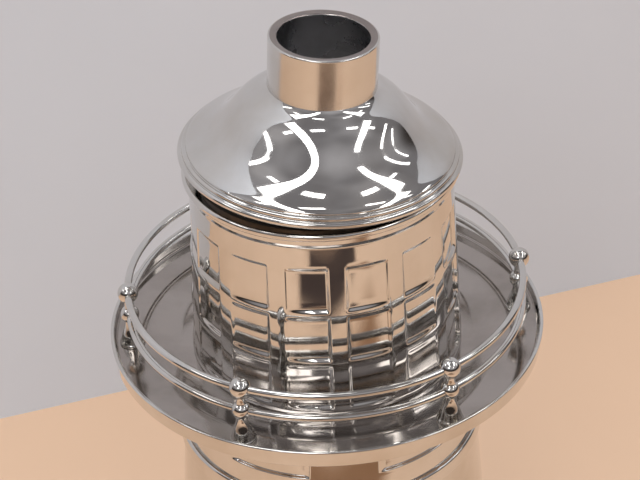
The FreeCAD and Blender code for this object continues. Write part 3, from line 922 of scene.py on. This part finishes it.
@dataclass
class Gallery:
    """The gallery: a dished deck, two ring rails and the turned stanchions that carry them.

    The curve of a stanchion's bell foot is given by radius and height above the deck.
    """

    shop: Shop
    sheet: float = 1.2
    drum_bore: float = 37.0
    flat_radius: float = 42.9
    slope_radius: float = 51.5
    deck_bend: float = 9.0
    deck_rise: float = 2.6
    lip_drop: float = 0.8
    lip_wall: float = 1.2
    lip_flare: float = 0.6
    lip_round: float = 1.0
    edge_round: float = 0.45
    hem_round: float = 0.3
    rod_points: int = 33
    post_points: int = 56
    post_count: int = 6
    post_heading: float = -25.0
    foot_radius: float = 3.6
    foot_edge: float = 0.1
    bell: Tuple[Corner, ...] = (
        (3.6, 0.5), (3.48, 0.85), (3.3, 1.0), (3.05, 1.9), (2.6, 3.6), (1.77, 5.6), (1.6, 7.0),
    )
    bell_points: int = 40
    waist_radius: float = 1.65
    neck_radius: float = 1.45
    neck_hollow: float = 0.2
    neck_points: int = 14
    lower_ball: float = 2.6
    lower_points: int = 28
    upper_ball: float = 2.9
    upper_points: int = 34
    upper_end: float = 89.0
    spigot_radius: float = 1.2

    def build(self) -> None:
        """Build and dress the gallery's pieces."""
        self._deck()
        low, high = height_of("upper_rail")
        rod = (high - low) / 2
        ring = reach_of("upper_rail") - rod
        upper = (low + high) / 2
        lower = sum(height_of("lower_rail")) / 2
        for name, height in (("upper_rail", upper), ("lower_rail", lower)):
            profile = arc((ring, height), rod, 0, 360, self.rod_points)[:-1]
            piece = ring_piece(f"{name}_rod", turned(even_turn(), profile))
            dress(piece, self.shop.rod, "vessel", "polished_plate", name)
        self._stanchions(ring, lower, upper)
        finish_node("stanchion_nuts", self.shop.steel)

    def _deck(self) -> None:
        """Build the deck: a flat ring round the drum, a slope, a flat ring for the posts and a lip."""
        low, top = height_of("gallery_deck")
        radius = reach_of("gallery_deck")
        inside = radius - self.lip_wall
        seat = low + self.deck_rise + self.sheet
        lip_low = low + self.deck_rise - self.lip_drop
        profile = outline([
            (self.drum_bore, low),
            (self.flat_radius, low, self.deck_bend),
            (self.slope_radius, low + self.deck_rise, self.deck_bend),
            (inside - self.lip_flare, low + self.deck_rise),
            (inside - self.lip_flare, lip_low, self.hem_round),
            (radius - self.lip_flare, lip_low, self.edge_round),
            (radius, top, self.edge_round),
            (inside, top, self.edge_round),
            (inside, seat, self.lip_round),
            (self.slope_radius, seat, self.deck_bend),
            (self.flat_radius, low + self.sheet, self.deck_bend),
            (self.drum_bore, low + self.sheet),
        ], step=1.5, bend=4.0)
        grid = turned(even_turn(), profile)
        piece = ring_piece("deck", grid)
        dress(piece, self.shop.deck, "vessel", "deck_plate", "gallery_deck")
        second_finish(piece, grid, self.shop.plate, lambda reach: reach > inside - SNUG)

    def _stanchions(self, ring: float, lower: float, upper: float) -> None:
        """Build the stanchions: a bell foot, two balls on the rails' heights and a neck between them.

        Args:
            ring: the radius on which they stand.
            lower: the height of the lower rail and ball.
            upper: the height of the upper rail and ball.
        """
        spigot = height_of("stanchion_1")[0]
        seat = height_of("gallery_deck")[0] + self.deck_rise + self.sheet
        below = math.degrees(math.asin(self.waist_radius / self.lower_ball))
        above = math.degrees(math.asin(self.neck_radius / self.lower_ball))
        under = math.degrees(math.asin(self.neck_radius / self.upper_ball))
        ball_low = arc((0, lower), self.lower_ball, below - 90, 90 - above, self.lower_points)
        ball_high = arc((0, upper), self.upper_ball, under - 90, self.upper_end, self.upper_points)
        foot, edge, pin = self.foot_radius, self.foot_edge, self.spigot_radius
        tail = np.array([[SNUG, spigot], [pin, spigot], [pin, seat - edge], [pin, seat],
                         [foot - edge, seat], [foot, seat + edge]])
        rise = [(radius, seat + up) for radius, up in self.bell]
        bell = bspline([*rise, tuple(ball_low[0])], self.bell_points)[:-1]
        hollow = self.neck_radius - self.neck_hollow
        neck = bspline([tuple(ball_low[-1]), (hollow, lower + self.lower_ball),
                        (hollow, upper - self.upper_ball), tuple(ball_high[0])], self.neck_points)[1:-1]
        profile = np.vstack([tail, bell, ball_low, neck, ball_high])
        for index in range(self.post_count):
            angle = angle_of(self.post_heading + index * 360 / self.post_count)
            grid = turned(even_turn(self.post_points), profile)
            grid = grid + ring * np.array([math.cos(angle), math.sin(angle), 0.0])
            piece = knob_piece(f"post_{index + 1}", grid)
            dress(piece, self.shop.rod, "vessel", "polished_plate", f"stanchion_{index + 1}")


@dataclass(frozen=True)
class Recess:
    """A ring of like recesses: a sill's height, their height and angle, how many, and one's heading."""

    sill: float
    tall: float
    angle: float
    count: int
    heading: float


@dataclass
class Tower:
    """The tapered tower with its pressed windows and door, its belt, its foot and its base plate."""

    shop: Shop
    sheet: float = 1.2
    bottom_radius: float = 58.5
    top_radius: float = 40.4
    emboss: float = 0.7
    edge: float = 0.8
    watch_drop: float = 18.1
    watch_height: float = 12.0
    watch_angle: float = 27.0
    watch_count: int = 6
    watch_heading: float = -25.0
    stair_sill: float = 118.0
    stair_height: float = 32.0
    stair_angle: float = 17.0
    stair_count: int = 4
    door_sill: float = 20.0
    door_height: float = 50.0
    door_angle: float = 26.0
    foot_step: float = 5.0
    foot_riser: float = 4.5
    foot_tread: float = 3.5
    foot_cove: float = 4.0
    foot_ledge: float = 4.0
    plate_rise: float = 3.0
    edge_round: float = 0.6
    cove_round: float = 0.3
    belt_round: float = 0.9
    wall_rows: int = 60
    wall_columns: int = 250

    def build(self) -> None:
        """Build and dress the tower's pieces."""
        self._wall()
        self._belt()
        self._foot()
        finish_node("base_plate", self.shop.deck)

    def radius_at(self, height: Array) -> Array:
        """Give the outer radius at a height, along the straight taper."""
        low, high = height_of("tower_wall")
        return self.bottom_radius + (self.top_radius - self.bottom_radius) * (height - low) / (high - low)

    def _recesses(self) -> Tuple[Recess, ...]:
        """Give the windows under the deck, the stair windows and the door.

        Returns:
            The three rings of recesses, of which the door's has one.
        """
        watch_sill = height_of("tower_wall")[1] - self.watch_drop
        return (
            Recess(watch_sill, self.watch_height, self.watch_angle, self.watch_count, self.watch_heading),
            Recess(self.stair_sill, self.stair_height, self.stair_angle, self.stair_count, 0.0),
            Recess(self.door_sill, self.door_height, self.door_angle, 1, 0.0),
        )

    def _press(self, angle: Array, radius: Array, height: Array) -> Array:
        """Sink every window and the door into the outer face, by the deepest of their soft boxes.

        A recess has the same width from sill to top: that of its angle at the wall's mean radius.

        Args:
            angle: angles round the axis.
            radius: radii before pressing.
            height: heights.

        Returns:
            The change of radius.
        """
        depth = np.zeros(np.broadcast(angle, height).shape)
        for recess in self._recesses():
            pitch = FULL_TURN / recess.count
            turn = (angle - angle_of(recess.heading) + pitch / 2) % pitch - pitch / 2
            half = math.radians(recess.angle) / 2 * radius.mean()
            across = soft_box(turn * radius, half, self.edge)
            up = soft_box(height - recess.sill - recess.tall / 2, recess.tall / 2, self.edge)
            depth = np.maximum(depth, across * up)
        outside = radius > self.radius_at(height) - self.sheet / 2
        return np.where(outside, -self.emboss * depth, 0.0)

    def _wall(self) -> None:
        """Build the tapered wall, with its recesses pressed in."""
        low, high = height_of("tower_wall")
        edges: List[float] = []
        sides: List[float] = []
        for recess in self._recesses():
            edges += [recess.sill, recess.sill + recess.tall]
            turns = recess.heading - 90 + 360 / recess.count * np.arange(recess.count)
            sides += [*(turns - recess.angle / 2), *(turns + recess.angle / 2)]
        heights = edge_lines(np.array(edges), self.edge, np.array([low, high]), self.wall_rows)
        soft = math.degrees(self.edge / self.top_radius)
        jambs = (np.array(sides) + 180) % 360 - 180
        around = edge_lines(jambs, soft, np.array([-180.0, 180.0]), self.wall_columns)[:-1]
        outer = np.column_stack([self.radius_at(heights), heights])
        # The inside is plain, so that every fourth row is enough for it.
        inner = outer[::-4] - np.array([self.sheet, 0.0])
        grid = turned(np.radians(around), np.vstack([outer, inner]), self._press)
        dress(ring_piece("tower", grid), self.shop.plate, "vessel", "polished_plate", "tower_wall")

    def _belt(self) -> None:
        """Build the half-round moulding round the tower."""
        low, high = height_of("tower_belt")
        proud = reach_of("tower_belt") - float(self.radius_at(np.array(low)))
        foot = float(self.radius_at(np.array(low)))
        head = float(self.radius_at(np.array(high)))
        profile = outline([
            (foot, low),
            (foot + proud, low, self.belt_round * proud),
            (head + proud, high, self.belt_round * proud),
            (head, high),
        ], bend=7.0)
        piece = ring_piece("belt", turned(even_turn(), profile))
        dress(piece, self.shop.plate, "vessel", "polished_plate", "tower_belt")

    def _foot(self) -> None:
        """Build the stepped foot ring."""
        low, high = height_of("base_foot")
        radius = reach_of("base_foot")
        bore = self.bottom_radius - self.sheet
        tread = radius - self.foot_tread
        second = low + self.foot_step + self.foot_riser
        profile = outline([
            (bore - self.foot_ledge, low),
            (radius, low, self.edge_round),
            (radius, low + self.foot_step, 3 * self.edge_round),
            (tread, low + self.foot_step, self.cove_round),
            (tread, second, 2 * self.edge_round),
            (self.bottom_radius + 2 * self.sheet, second, self.foot_cove),
            (self.bottom_radius + self.sheet, high, self.edge_round),
            (bore, high),
            (bore, low + self.plate_rise),
            (bore - self.foot_ledge, low + self.plate_rise),
        ], bend=6.0)
        piece = ring_piece("foot", turned(even_turn(), profile))
        dress(piece, self.shop.plate, "vessel", "polished_plate", "base_foot")


@dataclass(frozen=True)
class Tube:
    """A slim tube lamp: the plan positions of its two ends, and its width."""

    start: Tuple[float, float]
    end: Tuple[float, float]
    width: float


@dataclass(frozen=True)
class Mat:
    """A sheet on the floor that only reflections show: its edges, how softly it ends, its colour."""

    left: float
    right: float
    near: float
    far: float
    soft: float
    colour: str


@dataclass
class Studio:
    """The floor, the backdrop, the sheets that only reflections show, the lamps and the camera.

    The camera's aim is measured from the middle of the drum's mouth.
    """

    floor_colour: str = "#E9C6A7"
    mottle: float = 0.02
    mottle_mm: float = 150.0
    mottle_range: Tuple[float, float] = (0.3, 0.7)
    wall_colour: str = "#D3DAE4"
    room_dark: str = "#827F81"
    room_light: str = "#B3B0B2"
    cloud_scale: float = 1.6
    cloud_range: Tuple[float, float] = (0.35, 0.65)
    horizon_colour: str = "#38322F"
    horizon: Tuple[float, float] = (0.08, 0.44)
    focal_px: float = 2000.0
    image_px: float = 640.0
    sensor: float = 36.0
    elevation: float = 33.49
    roll: float = -2.39
    distance: float = 552.2
    aim: Tuple[float, float, float] = (-0.94, 0.0, -25.83)
    wall_distance: float = 330.0
    wall_turn: float = 17.0
    wall_height: float = 1300.0
    wall_half: float = 1500.0
    floor_half: float = 4000.0
    floor_roughness: float = 0.5
    wall_roughness: float = 0.7
    sheet_roughness: float = 0.9
    key_place: Tuple[float, float, float] = (-50.0, -1300.0, 1700.0)
    key_aim: Tuple[float, float, float] = (0.0, 150.0, 150.0)
    key_size: float = 1200.0
    key_watts: float = 17.5
    tube_height: float = 1600.0
    tube_radiance: float = 4.5
    mats: Tuple[Mat, ...] = (
        # These two stand for the dark clothes of someone standing in front.
        Mat(-190.0, 300.0, -820.0, -500.0, 130.0, "#5C3D27"),
        Mat(-135.0, 262.0, -598.0, -490.0, 35.0, "#3C2E29"),
        # Painted shadow: the object's own soft shadow on the floor just in front, for the metal to mirror.
        Mat(-170.0, 320.0, -470.0, -290.0, 60.0, "#946D4E"),
    )
    tubes: Tuple[Tube, ...] = (
        Tube((-1350.0, 150.0), (-1560.0, -700.0), 210.0),
        Tube((-400.0, 250.0), (-110.0, -1440.0), 210.0),
        Tube((-390.0, -1800.0), (-500.0, -2500.0), 270.0),
        Tube((-790.0, -1700.0), (-900.0, -2400.0), 480.0),
        Tube((890.0, 480.0), (1270.0, -1050.0), 230.0),
        Tube((1400.0, -1500.0), (1560.0, -2200.0), 230.0),
        Tube((1950.0, 700.0), (2600.0, -500.0), 200.0),
        Tube((2950.0, 900.0), (3750.0, 250.0), 200.0),
        Tube((-715.0, -224.0), (-485.0, -176.0), 110.0),
        Tube((-95.0, -114.0), (135.0, -66.0), 110.0),
        Tube((515.0, 46.0), (745.0, 94.0), 110.0),
        Tube((1135.0, 146.0), (1365.0, 194.0), 110.0),
    )

    def build(self) -> None:
        """Set up the whole studio."""
        bpy.context.scene.view_settings.view_transform = "Standard"
        self._room()
        self._floor()
        self._wall()
        self._key()
        self._mats()
        self._tubes()
        self._camera()

    def _plain(self, name: str, colour: str, roughness: float) -> bpy.types.Material:
        """Make a plain matt material with a faint mottling, for the floor, the backdrop or a sheet that only
        reflections show.

        Args:
            name: the material's name.
            colour: its colour in sRGB hex.
            roughness: how matt it is.

        Returns:
            The new material.
        """
        material, tree, shader = new_material(name)
        shader.inputs["Roughness"].default_value = roughness
        where = add_node(tree, "ShaderNodeTexCoord").outputs["Object"]
        mottle = add_node(tree, "ShaderNodeTexNoise", {"Vector": where},
                          Scale=1.0 / (self.mottle_mm * MM), Detail=4.0)
        depth = add_node(tree, "ShaderNodeMapRange", {"Value": mottle.outputs["Fac"]},
                         From_Min=self.mottle_range[0], From_Max=self.mottle_range[1],
                         To_Min=1 - self.mottle, To_Max=1 + self.mottle)
        tint = add_node(tree, "ShaderNodeVectorMath", {1: depth.outputs["Result"]}, operation="MULTIPLY")
        tint.inputs[0].default_value = linear(colour)[:3]
        tree.links.new(tint.outputs["Vector"], shader.inputs["Base Color"])
        return material

    def _room(self) -> None:
        """Light the scene from all round with a soft grey room over a dim horizon.

        The room is a little uneven, as a real one is. The dim horizon gives round rods and beads
        the dark line between their two bright edges by which the eye knows polished metal.
        """
        world = bpy.data.worlds.new("room")
        bpy.context.scene.world = world
        world.use_nodes = True
        tree = world.node_tree
        towards = add_node(tree, "ShaderNodeTexCoord").outputs["Generated"]
        cloud = add_node(tree, "ShaderNodeTexNoise", {"Vector": towards},
                         Scale=self.cloud_scale, Detail=1.0)
        share = add_node(tree, "ShaderNodeMapRange", {"Value": cloud.outputs["Fac"]},
                         From_Min=self.cloud_range[0], From_Max=self.cloud_range[1])
        shade = add_node(tree, "ShaderNodeMix", {"Factor": share.outputs["Result"]}, data_type="RGBA")
        shade.inputs[6].default_value = linear(self.room_dark)
        shade.inputs[7].default_value = linear(self.room_light)
        rise = add_node(tree, "ShaderNodeSeparateXYZ", {"Vector": towards}).outputs["Z"]
        above = add_node(tree, "ShaderNodeMapRange", {"Value": rise}, interpolation_type="SMOOTHSTEP",
                         From_Min=self.horizon[0], From_Max=self.horizon[1])
        room = add_node(tree, "ShaderNodeMix", {"Factor": above.outputs["Result"], 7: shade.outputs[2]},
                        data_type="RGBA")
        room.inputs[6].default_value = linear(self.horizon_colour)
        tree.links.new(room.outputs[2], tree.nodes["Background"].inputs["Color"])

    def _floor(self) -> None:
        """Lay the plain pale floor."""
        span = (-self.floor_half, self.floor_half)
        floor = level_piece("floor", span, span, 0.0)
        floor.data.materials.append(self._plain("matt_floor", self.floor_colour, self.floor_roughness))

    def _wall(self) -> None:
        """Stand a plain backdrop behind, which is clear when seen from its back."""
        turn = math.radians(self.wall_turn)
        side = self.wall_half * np.array([math.cos(turn), math.sin(turn), 0.0])
        middle = np.array([0.0, self.wall_distance, 0.0])
        tall = np.array([0.0, 0.0, self.wall_height])
        left, right = middle - side, middle + side
        wall = flat_piece("backdrop", [left, right, right + tall, left + tall])
        material = self._plain("matt_backdrop", self.wall_colour, self.wall_roughness)
        tree = material.node_tree
        face = add_node(tree, "ShaderNodeNewGeometry").outputs["Backfacing"]
        matt = tree.nodes["Principled BSDF"].outputs["BSDF"]
        clear = add_node(tree, "ShaderNodeBsdfTransparent").outputs["BSDF"]
        mix = add_node(tree, "ShaderNodeMixShader", {0: face, 1: matt, 2: clear})
        tree.links.new(mix.outputs["Shader"], tree.nodes["Material Output"].inputs["Surface"])
        wall.data.materials.append(material)

    def _key(self) -> None:
        """Light the floor and backdrop softly from the front; polished metal doesn't mirror this lamp."""
        lamp = bpy.data.lights.new("soft_key", "AREA")
        lamp.size = self.key_size * MM
        lamp.energy = self.key_watts
        holder = bpy.data.objects.new(lamp.name, lamp)
        place = Vector(self.key_place) * MM
        holder.location = place
        holder.rotation_euler = (Vector(self.key_aim) * MM - place).to_track_quat("-Z", "Y").to_euler()
        holder.visible_glossy = False
        bpy.context.scene.collection.objects.link(holder)

    def _mats(self) -> None:
        """Lay the sheets in front of the object, which the camera doesn't see but the metal mirrors: dark
        clothes, and a painted shadow.
        """
        for number, mat in enumerate(self.mats, start=1):
            mirrored_sheet = level_piece(f"mat_{number}", (mat.left, mat.right), (mat.near, mat.far), number)
            material = self._plain(f"cloth_and_painted_shadow_{number}", mat.colour, self.sheet_roughness)
            self._fade(material.node_tree, mat)
            mirrored_sheet.data.materials.append(material)
            mirrored_sheet.visible_camera = False
            mirrored_sheet.visible_diffuse = False
            mirrored_sheet.visible_shadow = False

    def _fade(self, tree: bpy.types.NodeTree, mat: Mat) -> None:
        """Clear a sheet away towards its edges, so that its mirrored outline is soft.

        Args:
            tree: the node tree of the cloth's material.
            mat: the sheet.
        """
        where = add_node(tree, "ShaderNodeTexCoord").outputs["Object"]
        place = add_node(tree, "ShaderNodeSeparateXYZ", {"Vector": where})
        edges = (("X", mat.left, mat.soft), ("X", mat.right, -mat.soft),
                 ("Y", mat.near, mat.soft), ("Y", mat.far, -mat.soft))
        share: Optional[bpy.types.NodeSocket] = None
        for axis, edge, inward in edges:
            fade = add_node(tree, "ShaderNodeMapRange", {"Value": place.outputs[axis]},
                            interpolation_type="SMOOTHSTEP", From_Min=edge * MM,
                            From_Max=(edge + inward) * MM).outputs["Result"]
            if share is not None:
                fade = add_node(tree, "ShaderNodeMath", {0: share, 1: fade},
                                operation="MULTIPLY").outputs["Value"]
            share = fade
        mirrored_sheet = tree.nodes["Principled BSDF"].outputs["BSDF"]
        clear = add_node(tree, "ShaderNodeBsdfTransparent").outputs["BSDF"]
        mix = add_node(tree, "ShaderNodeMixShader", {0: share, 1: clear, 2: mirrored_sheet})
        tree.links.new(mix.outputs["Shader"], tree.nodes["Material Output"].inputs["Surface"])

    def _tubes(self) -> None:
        """Hang the slim tube lamps level overhead, which the polished lid mirrors as white bands."""
        for number, tube in enumerate(self.tubes, start=1):
            start, end = Vector(tube.start), Vector(tube.end)
            lamp = bpy.data.lights.new(f"tube_{number}", "AREA")
            lamp.shape = "RECTANGLE"
            lamp.size = (end - start).length * MM
            lamp.size_y = tube.width * MM
            lamp.energy = self.tube_radiance * math.pi * lamp.size * lamp.size_y
            holder = bpy.data.objects.new(lamp.name, lamp)
            holder.location = (*((start + end) / 2 * MM), self.tube_height * MM)
            holder.rotation_euler = (0.0, 0.0, math.atan2(end.y - start.y, end.x - start.x))
            bpy.context.scene.collection.objects.link(holder)

    def _camera(self) -> None:
        """Set the camera at the photograph's place and angle."""
        rim = height_of("lantern_drum")[1]
        elevation = math.radians(self.elevation)
        roll = math.radians(self.roll)
        forward = Vector((0.0, math.cos(elevation), -math.sin(elevation)))
        level = Vector((1.0, 0.0, 0.0))
        upright = Vector((0.0, math.sin(elevation), math.cos(elevation)))
        right = math.cos(roll) * level + math.sin(roll) * upright
        up = -math.sin(roll) * level + math.cos(roll) * upright
        place = Vector((self.aim[0], self.aim[1], self.aim[2] + rim)) - self.distance * forward
        camera = bpy.data.cameras.new("camera")
        camera.sensor_width = self.sensor
        camera.lens = self.focal_px * self.sensor / self.image_px
        camera.clip_start = 0.01
        holder = bpy.data.objects.new("camera", camera)
        turn = Matrix((right, up, -forward)).transposed().to_4x4()
        holder.matrix_world = Matrix.Translation(place * MM) @ turn
        bpy.context.scene.collection.objects.link(holder)
        bpy.context.scene.camera = holder


def main() -> None:
    """Build the shaker's pieces and the studio."""
    logging.basicConfig(level=logging.INFO)
    shop = Shop()
    for assembly in (Tower(shop), Gallery(shop), LanternDrum(shop), Lid(shop)):
        assembly.build()
    Studio().build()


if __name__ == "__main__":
    main()
